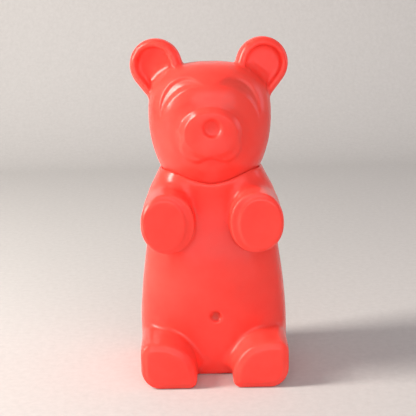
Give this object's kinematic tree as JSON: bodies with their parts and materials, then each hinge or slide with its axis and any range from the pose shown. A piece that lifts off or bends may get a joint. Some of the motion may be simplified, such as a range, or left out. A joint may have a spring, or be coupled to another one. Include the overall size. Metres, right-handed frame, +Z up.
{
  "type": "art toy figurine",
  "caption": "Standing translucent vinyl bear shaped like a gummy candy, with round dished ears, stub arms, flat-soled feet and a head that swivels on a snap peg.",
  "frame": {"origin": "on the surface the figure stands on, under the axis of its neck", "axes": "+Z up along the neck axis; the bear faces -Y; +X towards the bear's left"},
  "size_m": [0.0844, 0.0756, 0.178],
  "materials": {
    "head_vinyl": "satin translucent red vinyl",
    "body_vinyl": "satin translucent red vinyl",
    "joint_plastic": "natural moulded plastic",
    "plug_vinyl": "soft red vinyl"
  },
  "bodies": {
    "body": {"body_shell": "body_vinyl", "neck_peg": "joint_plastic", "base_plug": "plug_vinyl"},
    "head": {"head_shell": "head_vinyl", "neck_socket": "joint_plastic"}
  },
  "joints": [
    {"name": "neck_swivel", "type": "hinge", "parent": "body", "child": "head", "pos_m": [0, 0, 0.097], "axis": [0, 0, 1], "continuous": true}
  ]
}
